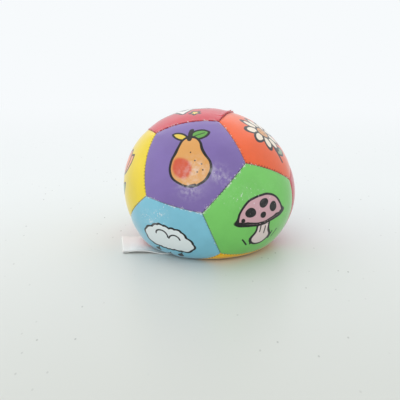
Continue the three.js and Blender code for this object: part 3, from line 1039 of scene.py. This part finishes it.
def settings_and_ball():
    """The scene's settings and the layout that follows from them."""
    settings = bpy.context.scene.soft_ball
    return settings, Ball(settings)


def carry(made, node):
    """Let a piece move with the ball and stand for a CAD node."""
    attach(made, "ball")
    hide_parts(node)


# Settings of the cloth that swells the panels, and how many steps it is run for
CLOTH = {
    "quality": 6,
    "mass": 0.05,
    "tension_stiffness": 40,
    "compression_stiffness": 40,
    "shear_stiffness": 20,
    "bending_stiffness": 3,
    "use_pressure": True,
    "uniform_pressure_force": 4,
}
CLOTH_STEPS = 20


def blown_up(points, rings, columns):
    """Points of sheets after a cloth simulation that pins their rims and swells them.

    Each sheet is its middle and then its rings. The result has the shape of the points: sheets,
    points and x, y, z.
    """
    sheets, count = points.shape[:2]
    faces = []
    for first in range(0, sheets * count, count):
        faces += [fan_faces(columns, first), band_faces(rings, columns, first + 1)]
    trial = new_object("puff_trial", points.reshape(-1, 3), faces, None)
    rim = np.arange(sheets)[:, None] * count + np.arange(count - columns, count)
    pins = trial.vertex_groups.new(name="seams")
    pins.add(rim.ravel().tolist(), 1.0, "REPLACE")
    cloth = trial.modifiers.new("swell", "CLOTH").settings
    cloth.vertex_group_mass = pins.name
    for key, value in CLOTH.items():
        setattr(cloth, key, value)
    cloth.effector_weights.gravity = 0
    scene = bpy.context.scene
    for step in range(CLOTH_STEPS):
        scene.frame_set(step + 1)
    swollen = trial.evaluated_get(bpy.context.evaluated_depsgraph_get()).data
    places = np.empty(points.size, np.float32)
    swollen.vertices.foreach_get("co", places)
    scene.frame_set(1)
    mesh = trial.data
    bpy.data.objects.remove(trial)
    bpy.data.meshes.remove(mesh)
    return places.reshape(points.shape)


def simulate_puff(ball, shares, per_edge):
    """How far the fill swells each panel, from a cloth simulation of all twelve.

    Every panel is a sheet pinned along its seams and blown up from inside. The result is the
    outward move of each point of its rings, for each panel an array of rings and points.
    """
    rings, columns = len(shares) - 1, EDGES * per_edge
    grids = []
    for name in PANELS:
        outline = ball.outline(name)
        rows = ball.panel_rows(outline, np.zeros(rings), shares[1:], per_edge)
        grids.append(np.concatenate((outline.middle[None], rows.reshape(-1, 3))))
    directions = np.stack(grids)
    points = ball.cover(directions)
    moved = blown_up(points, rings, columns) - points
    moved = (moved * ball.outward(directions)).sum(axis=-1)
    moved = np.clip(moved / max(np.abs(moved).max(), 1e-9), 0, 1)
    moved = moved * ball.settings.cover.puff
    middle = np.repeat(moved[:, :1, None], columns, axis=2)
    return np.concatenate((middle, moved[:, 1:].reshape(len(PANELS), rings, columns)), axis=1)


def sampled(grid, rows, columns):
    """A grid of rings and points read at rows from 0 to 1 and evenly at more points round."""
    at = np.clip(rows, 0, 1) * (len(grid) - 1)
    low = np.minimum(at.astype(int), len(grid) - 2)
    share = smoothstep(0, 1, at - low)[:, None]
    turn = np.arange(columns) * grid.shape[1] / columns
    left = turn.astype(int)
    part = smoothstep(0, 1, turn - left)
    round_it = grid[:, left] * (1 - part) + grid[:, (left + 1) % grid.shape[1]] * part
    return round_it[low] * (1 - share) + round_it[low + 1] * share


def panel_profile(cover):
    """Rows of a panel from its middle out, round the fold, down the edge and back inside.

    Each row has an inset from the seam, a depth below the cover and a share of the way out. The
    last value is the number of rows that show.
    """
    crowding, bend_steps = 1.25, 8  # rings lie closer towards the fold
    half, fold, wall = cover.gap / 2, cover.fold, cover.thickness
    inner = fold - wall
    dome = 1 - (1 - np.linspace(0, 1, cover.dome_steps)[1:]) ** crowding
    bend = np.linspace(0, np.pi / 2, bend_steps + 1)[1:]
    back = dome[::-4][1:]
    inset = [
        np.full(len(dome), half + fold),
        half + fold * (1 - np.sin(bend)),
        np.full(3, half),
        np.full(3, half + wall),
        half + fold - inner * np.sin(bend[::-2]),
        np.full(len(back) + 1, half + fold),
    ]
    depth = [
        np.zeros(len(dome)),
        fold * (1 - np.cos(bend)),
        np.linspace(fold, cover.allowance, 4)[1:],
        np.linspace(cover.allowance, fold, 3),
        fold - inner * np.cos(bend[::-2]),
        np.full(len(back) + 1, wall),
    ]
    inset, depth = np.concatenate(inset), np.concatenate(depth)
    share = np.concatenate((dome, np.ones(len(inset) - len(dome) - len(back)), back))
    return inset, depth, share, len(dome) + len(bend)


class BALL_OT_panels(bpy.types.Operator):
    """Make the twelve printed vinyl panels with their folds and turned-in edges"""

    bl_idname = "soft_ball.panels"
    bl_label = "Panels"

    PUFF_SHARES = np.linspace(0, 1, 10)  # rings of a sheet that is blown up, from its middle out
    PUFF_EDGE = 8  # points along each of its edges
    LIP_FADE = 1.2 * MM  # distances from a seam at which its forms have mostly gone
    DIMPLE_FADE, CREASE_FADE = 0.8 * MM, 4 * MM
    CREASE = 0.8  # depth of a crease beside a dimple's
    WEAR_CORE, WEAR_FRINGE = 0.7, 2  # width of the worn fold and of thinner wear beside it, in mm
    SWAY, QUIVER = 0.25, 0.05  # how far drawn lines waver, slowly and quickly, in mm
    MARGIN = 1.02  # of the flat map about a panel
    SPOT, SPOT_HALF = 0.035, 0.03  # place and half-width of what the flat map keeps out of sight

    # Wavers along a seam: seed, shift from seam to seam and wavelengths, in metres
    LIP_WAVER = (5, 0.0, (0.0031, 0.0053, 0.0127))
    CREASE_WAVER = (7, 0.013, (0.0043, 0.0071, 0.0113))
    WEAR_WAVER = (11, 0.029, (0.003, 0.005, 0.009, 0.017, 0.031))
    STITCH_WAVER = (17, 0.037, (0.006, 0.011, 0.023))

    def execute(self, context):
        settings, ball = settings_and_ball()
        colours, stitch = settings.colours, settings.cover.stitch / MM
        materials = {}
        for tint in sorted({plan[2] for plan in PANELS.values()}):
            band = SHADED_STITCH_BANDS.get(tint, PLAIN_SHADED_BAND)
            own = getattr(colours, tint)
            materials[tint] = vinyl_material(f"vinyl_{tint}", own, colours, stitch, band)
        puffs = simulate_puff(ball, self.PUFF_SHARES, self.PUFF_EDGE)
        for (name, plan), puff in zip(PANELS.items(), puffs):
            self.make(ball, name, plan, puff, materials[plan[2]])
        return {"FINISHED"}

    def make(self, ball, name, plan, puff, material):
        """One panel: a dome, its fold and edge, and the values its material reads."""
        cover = ball.settings.cover
        outline = ball.outline(name)
        inset, depth, share, shown = panel_profile(cover)
        rows = ball.panel_rows(outline, inset, share, cover.edge_steps)
        columns = rows.shape[1]
        away, along, edge = ball.seam_places(outline, rows)
        seed = list(PANELS).index(name)
        swell = sampled(puff, share, columns)
        dent = ball.valley(away) - swell - self.lip(ball, outline, name, away, along, edge)
        depth = depth[:, None] + self.pucker(cover, away, along, edge + EDGES * seed)
        points = ball.below(rows, depth, dent)
        poles = np.stack((outline.middle, outline.middle))
        tops = ball.below(poles, np.array((0, cover.thickness)), np.full(2, -puff[0, 0]))
        points = np.concatenate((tops[:1], points.reshape(-1, 3), tops[1:]))
        made = new_object(f"panel_{name}_vinyl", points, capped_faces(len(rows), columns), material)
        directions = np.concatenate((poles[:1], rows.reshape(-1, 3), poles[1:]))
        outer = np.arange(len(points)) <= shown * columns
        self.write_print(ball, made, outline, plan, directions, outer)
        self.write_wear(ball, made, outline, name, directions, outer)
        self.lay_flat(ball, made, outline, directions, (4 * shown - 1) * columns)
        carry(made, f"panel_{name}")
        self.declare(ball, made, outline)

    @staticmethod
    def waver(kind, along, seam):
        """Seeded waver along seams from about -1 to 1, shifted from one seam to the next."""
        seed, shift, lengths = kind
        return hashed_waves(seed, along + seam * shift, lengths)

    def lip(self, ball, outline, name, away, along, edge):
        """Height of a panel's fold over its neighbours', uneven along it, dying away as e^-d.

        Beside one neighbour it rises to a ridge between the seam's ends.
        """
        uneven = 0.8 + 0.4 * self.waver(self.LIP_WAVER, along, edge)
        ahead = np.roll(outline.corners, -1, axis=0)
        span = np.arccos((outline.corners * ahead).sum(axis=1))[edge] * ball.radius
        rise = smoothstep(0, RIDGE_RISE, np.minimum(along, span - along))
        ridge = np.array([RIDGES.get((name, other), 0) for other in outline.beyond])[edge]
        height = (LIPS.get(name, 0) + ridge * rise) * MM
        return height * uneven * fading(away, self.LIP_FADE)

    def pucker(self, cover, away, along, seam):
        """Depth of the stitch dimples and of the short creases that run in from a seam."""
        dimple = 0.5 + 0.5 * np.cos(2 * np.pi * along / cover.stitch)
        crease = self.CREASE * np.maximum(self.waver(self.CREASE_WAVER, along, seam), 0)
        near, wide = fading(away, self.DIMPLE_FADE), fading(away, self.CREASE_FADE)
        return cover.pucker * (dimple * near + crease * wide)

    @staticmethod
    def flat_places(ball, outline, directions):
        """Places on the flat panel in millimetres: angle from its middle times the radius."""
        x, y = directions @ outline.right, directions @ outline.up
        reach = np.arccos(np.clip(directions @ outline.middle, -1, 1)) * ball.radius / MM
        from_middle = np.maximum(np.hypot(x, y), 1e-9)
        return x / from_middle * reach, y / from_middle * reach

    def write_print(self, ball, made, outline, plan, directions, outer):
        """Store the print's tint and its distances to fill and line, in millimetres."""
        x, y = self.flat_places(ball, outline, directions)
        u, v = spun(x, y, plan[4])
        u = u + self.SWAY * np.sin(v / 2.3) + self.QUIVER * np.sin(v / 0.9 + 1)
        v = v + self.SWAY * np.sin(u / 2.6 + 2) + self.QUIVER * np.sin(u / 0.9)
        drawn = Print(u, v, ball.settings.colours.ink)
        DRAWINGS[plan[3]](drawn, u, v)
        write_colours(made, "print_tint", drawn.tint)
        write_values(
            made,
            print_fill=np.where(outer, drawn.fill, Print.FAR),
            print_line=np.where(outer, drawn.line, Print.FAR),
        )

    def write_wear(self, ball, made, outline, name, directions, outer):
        """Store the distance to the seam in millimetres, how dark its stitched band of grime and
        painted shade is, and how rubbed a place is.

        Wear is strongest on the fold, thins out over a few millimetres and comes and goes along
        the seam; a scuff is a round spot that fades as e to the minus square of its distance.
        """
        away, along, edge = ball.seam_places(outline, directions)
        pairs = (tuple(sorted((name, other))) for other in outline.beyond)
        looks = np.array([SEAM_LOOKS.get(pair, PLAIN_SEAM_LOOK) for pair in pairs])[edge]
        off = np.maximum(away, 0) / MM
        across = np.exp(-((off / self.WEAR_CORE) ** 2)) + 0.3 * np.exp(-off / self.WEAR_FRINGE)
        patchy = self.waver(self.WEAR_WAVER, along, edge)
        wear = looks[:, 0] * across * np.clip(0.45 + 1.3 * patchy, 0, 1)
        # How dark the stitched band is: partly grime, partly painted shade of the crease and stitch
        # holes
        uneven = self.waver(self.STITCH_WAVER, along, edge)
        stitches = looks[:, 1] * np.clip(0.8 + 0.6 * uneven, 0, 1)
        x, y = self.flat_places(ball, outline, directions)
        haze, flecks = np.zeros((2, len(directions)))
        for panel, right, up, reach, hazy, flecked in SCUFFS:
            if panel == name:
                spot = np.exp(-((x - right) ** 2 + (y - up) ** 2) / reach**2)
                haze, flecks = np.maximum(haze, hazy * spot), np.maximum(flecks, flecked * spot)
        shown = {"seam": away / MM, "wear": wear, "haze": haze, "flecks": flecks}
        write_values(made, along=along / MM, stitches=stitches)
        write_values(made, **{key: np.where(outer, value, 0) for key, value in shown.items()})

    def lay_flat(self, ball, made, outline, directions, shown):
        """Store a flat map for baking: the shown face corners fill it, the rest lie in one spot."""
        flat = np.stack(self.flat_places(ball, outline, directions), axis=1)
        flat = flat / (np.abs(flat).max() * self.MARGIN)
        corners = np.empty(len(made.data.loops), np.int32)
        made.data.loops.foreach_get("vertex_index", corners)
        first = np.arange(len(corners))[:, None] < shown
        spot = self.SPOT + self.SPOT_HALF * flat[corners]
        places = np.where(first, 0.5 + 0.5 * flat[corners], spot)
        layer = made.data.uv_layers.new(name="OFBake")
        layer.uv.foreach_set("vector", places.astype(np.float32).ravel())

    @staticmethod
    def declare(ball, made, outline):
        """The mean arc on the ball from the panel's middle to a corner, which is all this works out.
        The cut reaches that arc and, past it, the allowance over cos 36; times that reach, the
        pentagon is 2 cos 18 wide and 1 + cos 36 high.
        """
        arc = np.arccos(outline.corners @ outline.middle).mean() * ball.radius


class BALL_OT_threads(bpy.types.Operator):
    """Make the stitched threads in the thirty seams"""

    bl_idname = "soft_ball.threads"
    bl_label = "Seam threads"

    END_GAP = 0.9 * MM  # from a corner to the thread's end
    SIDES = 7
    STITCH_STEPS = 8  # points along a stitch
    SWAY = 0.04 * MM
    DEPTH, DIP = 0.3 * MM, 0.05 * MM  # below the seam's valley, and up and down from that

    def execute(self, context):
        settings, ball = settings_and_ball()
        material = thread_material(settings.colours)
        for (a, b), ends in ball.seams.items():
            self.make(ball, f"{a}_{b}", [ball.corners[key] for key in ends], material)
        return {"FINISHED"}

    def make(self, ball, name, ends, material):
        """One thread: it sways across the groove once a stitch and dips between stitches."""
        cover = ball.settings.cover
        span = np.arccos(ends[0] @ ends[1]) * ball.radius
        stitches = round(span / cover.stitch)
        first = self.END_GAP / span
        share = np.linspace(first, 1 - first, stitches * self.STITCH_STEPS)
        directions = unit(ends[0] + share[:, None] * (ends[1] - ends[0]))
        turn = 2 * np.pi * stitches * share
        across = unit(np.cross(ends[0], ends[1])) * (self.SWAY * np.sin(turn))[:, None]
        depth = self.DEPTH + self.DIP * np.cos(2 * turn)
        path = ball.below(directions, depth, ball.valley(np.zeros(len(share)))) + across
        points, faces = tube(path, cover.thread / 2, self.SIDES)
        made = new_object(f"seam_{name}_thread", points, faces, material)
        steps = np.concatenate(((first,), np.repeat(share, self.SIDES), (1 - first,)))
        around = np.tile(np.arange(self.SIDES) * 2 * np.pi / self.SIDES, len(share))
        around = np.concatenate(((0,), around, (0,)))
        write_values(made, along=steps * span / MM, around=around)
        carry(made, f"seam_{name}")


class BALL_OT_stuffing(bpy.types.Operator):
    """Make the fibre stuffing that fills the panels and is drawn in at the seams"""

    bl_idname = "soft_ball.stuffing"
    bl_label = "Stuffing"

    ROWS, COLUMNS = 150, 300
    CLEARANCE = 0.35 * MM  # from the vinyl
    GROOVE_FROM, GROOVE_TO = 0.4 * MM, 1.6 * MM  # past a turned-in edge, where its groove rises
    LUMPS = 0.25 * MM  # half the height of its lumps
    LUMP_SEED, LUMP_LENGTHS = 3, (0.21, 0.34)

    def execute(self, context):
        settings, ball = settings_and_ball()
        cover = settings.cover
        tilt = np.linspace(0, np.pi, self.ROWS + 2)[:, None]
        turn = np.linspace(0, 2 * np.pi, self.COLUMNS, endpoint=False)
        flat = np.sin(tilt)
        globe = np.stack(
            np.broadcast_arrays(flat * np.cos(turn), flat * np.sin(turn), np.cos(tilt)), axis=-1
        )
        directions = np.concatenate((globe[0, :1], globe[1:-1].reshape(-1, 3), globe[-1, :1]))
        away = self.seam_distance(ball, directions)
        wall = cover.gap / 2 + cover.thickness + self.CLEARANCE
        crown, groove = cover.thickness + self.CLEARANCE, cover.allowance + self.CLEARANCE
        drawn_in = 1 - smoothstep(wall + self.GROOVE_FROM, wall + self.GROOVE_TO, away)
        slanted = directions[:, 0] + 0.4 * directions[:, 2]
        waver = hashed_waves(self.LUMP_SEED, slanted, self.LUMP_LENGTHS)
        depth = crown + self.LUMPS * (1 + waver) + (groove - crown) * drawn_in
        points = ball.below(directions, depth, ball.valley(away))
        faces = capped_faces(self.ROWS, self.COLUMNS)
        made = new_object("stuffing_fill", points, faces, fibre_material(settings.colours))
        carry(made, "stuffing")
        return {"FINISHED"}

    @staticmethod
    def seam_distance(ball, directions):
        """Distance on the ball from each direction to the nearest of the thirty seams."""
        nearest = np.full(len(directions), np.inf)
        for first, last in ball.seams.values():
            a, b = ball.corners[first], ball.corners[last]
            pole = unit(np.cross(a, b))
            off = np.abs(directions @ pole)
            between = (directions @ np.cross(pole, a) > 0) & (directions @ np.cross(b, pole) > 0)
            over = np.where(between, np.arcsin(np.clip(off, 0, 1)), np.inf)
            nearest = np.minimum(nearest, over)
            ends = np.maximum(directions @ a, directions @ b)
            nearest = np.minimum(nearest, np.arccos(np.clip(ends, -1, 1)))
        return nearest * ball.radius


class BALL_OT_label(bpy.types.Operator):
    """Make the folded ribbon label"""

    bl_idname = "soft_ball.label"
    bl_label = "Ribbon label"

    ALONG, ACROSS = 160, 40
    ROOT = 0.9 * MM  # past the straight line between the seam's ends
    BEND = 2 * MM  # on either side of the crease
    EYE = 0.35 * MM  # how far the fold stays open
    EYE_FROM, EYE_FULL = 0.86, 0.985  # shares of the way out where the eye opens and is full
    CROWDING = 1.6  # steps lie closer towards the fold
    RISE, FALL = (0.3, 0.62), (0.72, 1.0)  # shares of the reach where the arch rises and falls
    TIP, TIP_LIFT = (0.75, 1.0), 0.3  # where the far corner lifts, and how far beside the arch
    LOW, PLIES = 0.55, 1.15  # height of the lower ply's middle and from it to the upper's, in plies

    def execute(self, context):
        settings, ball = settings_and_ball()
        label = settings.label
        near, far = (ball.cover(ball.corners[key]) for key in ball.label_seam())
        seam = far - near
        root = (near + seam * label.seam_share) * (1, 1, 0)
        heading = np.pi - label.turn
        ahead = np.array((np.cos(heading), np.sin(heading), 0))
        aside = np.array((-np.sin(heading), np.cos(heading), 0))
        slope = (seam @ ahead) / (seam @ aside)
        sheet, along, across = self.ribbon(label, slope)
        points = root + sheet @ np.stack((ahead, aside, (0, 0, 1)))
        points, faces = self.thickened(points, label.ply)
        made = new_object("label_ribbon", points, faces, ribbon_material(settings.colours))
        places = {"along": along, "across": across, "edge": label.width / 2 - np.abs(across)}
        write_values(made, **{key: np.tile(grid.ravel() / MM, 2) for key, grid in places.items()})
        crease = root + ahead * (label.reach - label.flap)
        bend = ahead * self.BEND
        crease - bend
        crease + bend
        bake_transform(made)
        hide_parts("label_tail", "label_flap")
        return {"FINISHED"}

    def ribbon(self, label, slope):
        """Middle surface of the folded ribbon in its own frame: out, fold, and back.

        The path runs from the seam along the table, round an eye at the fold and back on top. The
        free end is skewed. The ribbon arches before its end, most along its near edge, and the
        far corner of its end lifts a little.
        """
        run = np.linspace(-1, 1, self.ALONG)[:, None]
        across = np.linspace(-0.5, 0.5, self.ACROSS) * label.width
        far = -across / label.width
        start = self.ROOT + slope * across
        reach = label.reach + label.skew * far
        out = 1 - np.abs(run) ** self.CROWDING
        along = start + (reach - self.EYE - start) * out
        opened = smoothstep(self.EYE_FROM, self.EYE_FULL, out)
        closing = ((out - self.EYE_FULL) / (1 - self.EYE_FULL)).clip(0, 1)
        gap = label.ply * self.PLIES + self.EYE * 1.2 * opened
        gap = gap * np.sqrt(1 - closing**2)
        height = self.LOW * label.ply + gap * (run > 0)
        share = along / label.reach
        hump = smoothstep(*self.RISE, share) * (1 - smoothstep(*self.FALL, share))
        tip = self.TIP_LIFT * smoothstep(*self.TIP, share)
        height = height + label.arch * (hump * (0.75 - 0.5 * far) + tip * (0.5 + far))
        run, across, _ = np.broadcast_arrays(run * label.reach, across, along)
        return np.stack((along, across, height), axis=-1), run, across

    @staticmethod
    def thickened(sheet, thickness):
        """Closed shell about a grid of points: two sides half a thickness out, and the edges."""
        rows, columns = sheet.shape[:2]
        ahead, aside = np.gradient(sheet, axis=0), np.gradient(sheet, axis=1)
        normal = unit(np.cross(ahead, aside)) * thickness / 2
        points = np.concatenate([(sheet + side * normal).reshape(-1, 3) for side in (1, -1)])
        front = band_faces(rows, columns, closed=False)
        count = rows * columns
        grid = np.arange(count).reshape(rows, columns)
        loop = np.concatenate((grid[:-1, 0], grid[-1, :-1], grid[:0:-1, -1], grid[0, :0:-1]))
        after = np.roll(loop, -1)
        rim = np.stack((after, loop, loop + count, after + count), axis=-1)
        return points, [front, front[:, ::-1] + count, rim[:, ::-1]]


def facing(direction):
    """Turn of a lamp or camera that looks along a direction, kept level."""
    x, y, z = direction
    return (np.arctan2(np.hypot(x, y), -z), 0.0, np.arctan2(-x, y))


class BALL_OT_stage(bpy.types.Operator):
    """Make the pale table, the light and the camera"""

    bl_idname = "soft_ball.stage"
    bl_label = "Table, light and camera"

    ELEVATION = 15.0  # of the camera, in degrees
    DISTANCE = 0.414  # from the ball's middle
    VIEW = 33.54  # angle of view in degrees
    AIM = (-5.84 * MM, -7.44 * MM)  # right and up of the ball's middle
    SENSOR = 36.0  # width in millimetres
    TABLE_RINGS, TABLE_SIDES = (0.3, 1.0, 6.0), 64
    ROOM_LIGHT = (0.68, 0.7, 0.71)

    # Lamps: name, place, target, width and power in watts
    LAMPS = (
        ("top_lamp", (0.0, 0.38, 0.72), (0.0, 0.0, 0.02), 1.1, 2.7),
        ("front_lamp", (-0.25, -1.0, 0.6), (0.0, 0.0, 0.03), 0.8, 3.7),
        ("left_lamp", (-0.95, -0.1, 0.6), (0.0, 0.0, 0.03), 1.2, 1.6),
        ("right_lamp", (0.95, -0.1, 0.6), (0.0, 0.0, 0.03), 1.2, 0.8),
    )

    def execute(self, context):
        scene = context.scene
        scene.view_settings.view_transform = "Standard"
        self.make_table()
        self.make_lights(scene)
        self.make_camera(scene, scene.soft_ball.shape.centre_height)
        return {"FINISHED"}

    def make_table(self):
        """A round flat table: rings of growing radius about the ball."""
        radius, sides = np.array(self.TABLE_RINGS)[:, None], self.TABLE_SIDES
        turn = np.linspace(0, 2 * np.pi, sides, endpoint=False)
        places = np.broadcast_arrays(radius * np.cos(turn), radius * np.sin(turn), 0.0)
        rings = np.stack(places, axis=-1)
        points = np.concatenate((np.zeros((1, 3)), rings.reshape(-1, 3)))
        faces = [fan_faces(sides), band_faces(len(radius), sides, first=1)]
        new_object("pale_table", points, faces, floor_material())

    def make_lights(self, scene):
        """Even pale surroundings and broad lamps above, in front and on both sides."""
        world = bpy.data.worlds.new("bright_room")
        scene.world = world
        world.use_nodes = True
        g = Graph.of_world(world)
        g.fill(g.shader.inputs["Color"], g.mix(g.seen(), self.ROOM_LIGHT, ROOM))
        for name, place, target, size, power in self.LAMPS:
            lamp = bpy.data.lights.new(name, "AREA")
            lamp.size, lamp.energy = size, power
            made = bpy.data.objects.new(name, lamp)
            made.location = place
            made.rotation_euler = facing(np.array(target) - np.array(place))
            scene.collection.objects.link(made)

    def make_camera(self, scene, height):
        """The photograph's view: a little above the ball, aimed just left of and below it."""
        tilt = np.radians(self.ELEVATION)
        middle = np.array((0, 0, height))
        place = middle + self.DISTANCE * np.array((0, -np.cos(tilt), np.sin(tilt)))
        up = np.array((0, np.sin(tilt), np.cos(tilt)))
        target = middle + np.array((self.AIM[0], 0, 0)) + up * self.AIM[1]
        lens = bpy.data.cameras.new("view")
        lens.sensor_width = self.SENSOR
        lens.lens = self.SENSOR / 2 / np.tan(np.radians(self.VIEW) / 2)
        lens.clip_start = 0.01
        camera = bpy.data.objects.new("view", lens)
        camera.location = place
        camera.rotation_euler = facing(target - place)
        scene.collection.objects.link(camera)
        scene.camera = camera


class BALL_PT_sidebar(bpy.types.Panel):
    """The ball's pieces and settings in the sidebar"""

    bl_idname = "BALL_PT_sidebar"
    bl_label = "Soft panel ball"
    bl_space_type = "VIEW_3D"
    bl_region_type = "UI"
    bl_category = "Ball"

    def draw(self, context):
        layout = self.layout
        for operator in OPERATORS:
            layout.operator(operator.bl_idname)
        settings = context.scene.soft_ball
        for group in (settings.shape, settings.cover, settings.label, settings.colours):
            box = layout.box()
            for name in group.__annotations__:
                box.prop(group, name)


GROUPS = (BallShape, CoverMake, LabelMake, BallColours, BallSettings)
OPERATORS = (BALL_OT_stuffing, BALL_OT_panels, BALL_OT_threads, BALL_OT_label, BALL_OT_stage)


def register():
    for kind in (*GROUPS, *OPERATORS, BALL_PT_sidebar):
        bpy.utils.register_class(kind)
    bpy.types.Scene.soft_ball = PointerProperty(type=BallSettings)


def unregister():
    del bpy.types.Scene.soft_ball
    for kind in reversed((*GROUPS, *OPERATORS, BALL_PT_sidebar)):
        bpy.utils.unregister_class(kind)


def main():
    register()
    bpy.ops.soft_ball.stuffing()
    bpy.ops.soft_ball.panels()
    bpy.ops.soft_ball.threads()
    bpy.ops.soft_ball.label()
    bpy.ops.soft_ball.stage()


if __name__ == "__main__":
    main()
